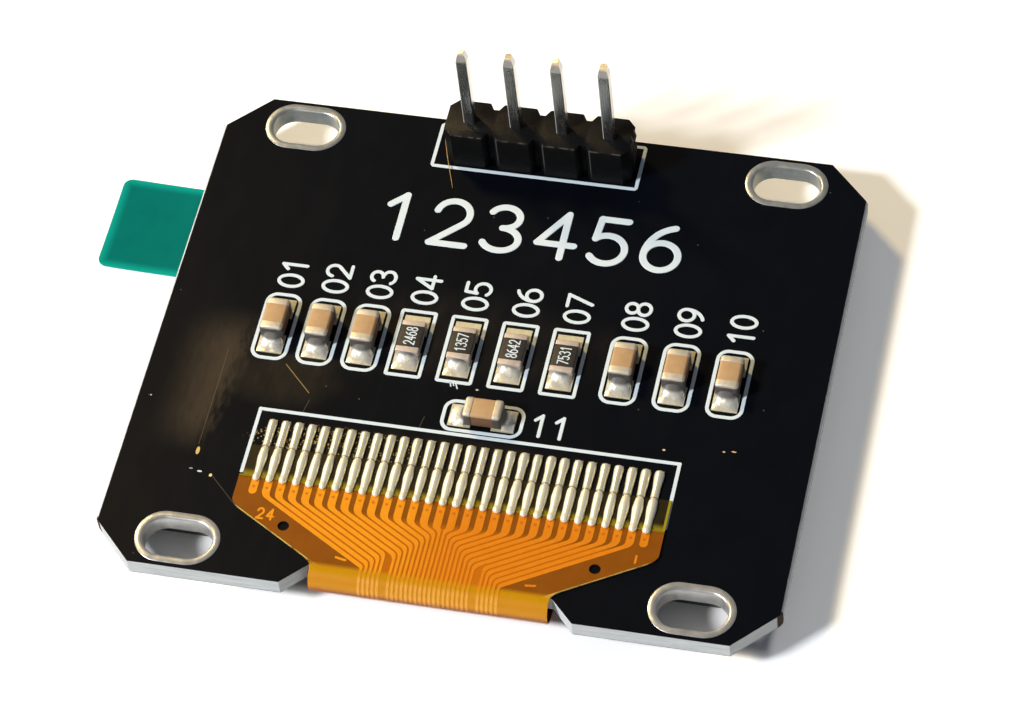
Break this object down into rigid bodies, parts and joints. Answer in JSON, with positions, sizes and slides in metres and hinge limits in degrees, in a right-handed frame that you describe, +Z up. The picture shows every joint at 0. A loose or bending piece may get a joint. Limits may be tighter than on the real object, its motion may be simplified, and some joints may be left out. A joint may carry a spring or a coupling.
{
  "type": "oled display module",
  "caption": "Small OLED display module lying face down: black circuit board with cut corners and plated slots, pin header, chip parts, folded amber flex circuit and green film tab.",
  "frame": {"origin": "on the outer face of the display's protective film, on which the module rests, under the middle of the board", "axes": "+X along the pin header, +Y from the flex edge of the board to the header edge, +Z up out of the component side, along the header pins"},
  "size_m": [0.0406, 0.0306, 0.0108],
  "materials": {
    "board_mask": "semi-gloss black solder mask on glass-fibre laminate",
    "tin_plating": "tinned plating",
    "header_plastic": "black moulded nylon",
    "solder": "bright solder",
    "gold_plating": "thin gold plating",
    "legend_ink": "white printed ink",
    "flex_polyimide": "amber polyimide film",
    "copper_traces": "copper seen through amber film",
    "flex_coverlay": "amber coverlay",
    "bond_adhesive": "thermoset adhesive",
    "display_glass": "dark display glass",
    "display_glass_rear": "rear cover glass",
    "bare_silicon": "bare silicon",
    "foam_tape": "white acrylic tape",
    "polarizer_sheet": "dark polarizing sheet",
    "clear_film": "clear polyester film",
    "green_tab": "green adhesive tape",
    "pin_metal": "tinned square wire",
    "capacitor_ceramic": "tan fired ceramic",
    "chip_terminals": "tinned terminals",
    "alumina": "white alumina",
    "resistor_overcoat": "black glass overcoat"
  },
  "bodies": {
    "root": {"capacitor_1_ceramic": "capacitor_ceramic", "capacitor_1_terminals": "chip_terminals", "capacitor_2_ceramic": "capacitor_ceramic", "capacitor_2_terminals": "chip_terminals", "capacitor_3_ceramic": "capacitor_ceramic", "capacitor_3_terminals": "chip_terminals", "capacitor_4_ceramic": "capacitor_ceramic", "capacitor_4_terminals": "chip_terminals", "capacitor_5_ceramic": "capacitor_ceramic", "capacitor_5_terminals": "chip_terminals", "capacitor_6_ceramic": "capacitor_ceramic", "capacitor_6_terminals": "chip_terminals", "capacitor_7_ceramic": "capacitor_ceramic", "capacitor_7_terminals": "chip_terminals", "chip_pads": "gold_plating", "chip_solder": "solder", "circuit_board": "board_mask", "contact_pads": "gold_plating", "contact_solder": "solder", "driver_chip": "bare_silicon", "flex_bond": "bond_adhesive", "flex_coverlay": "flex_coverlay", "flex_film": "flex_polyimide", "flex_traces": "copper_traces", "front_glass": "display_glass", "header_housing": "header_plastic", "header_joints": "solder", "header_pin_1": "pin_metal", "header_pin_2": "pin_metal", "header_pin_3": "pin_metal", "header_pin_4": "pin_metal", "legend_frames": "legend_ink", "mounting_tape": "foam_tape", "polarizer": "polarizer_sheet", "protective_film": "clear_film", "pull_tab": "green_tab", "rear_glass": "display_glass_rear", "resistor_1_overcoat": "resistor_overcoat", "resistor_1_slab": "alumina", "resistor_1_terminals": "chip_terminals", "resistor_2_overcoat": "resistor_overcoat", "resistor_2_slab": "alumina", "resistor_2_terminals": "chip_terminals", "resistor_3_overcoat": "resistor_overcoat", "resistor_3_slab": "alumina", "resistor_3_terminals": "chip_terminals", "resistor_4_overcoat": "resistor_overcoat", "resistor_4_slab": "alumina", "resistor_4_terminals": "chip_terminals", "slot_plating": "tin_plating"}
  },
  "joints": []
}
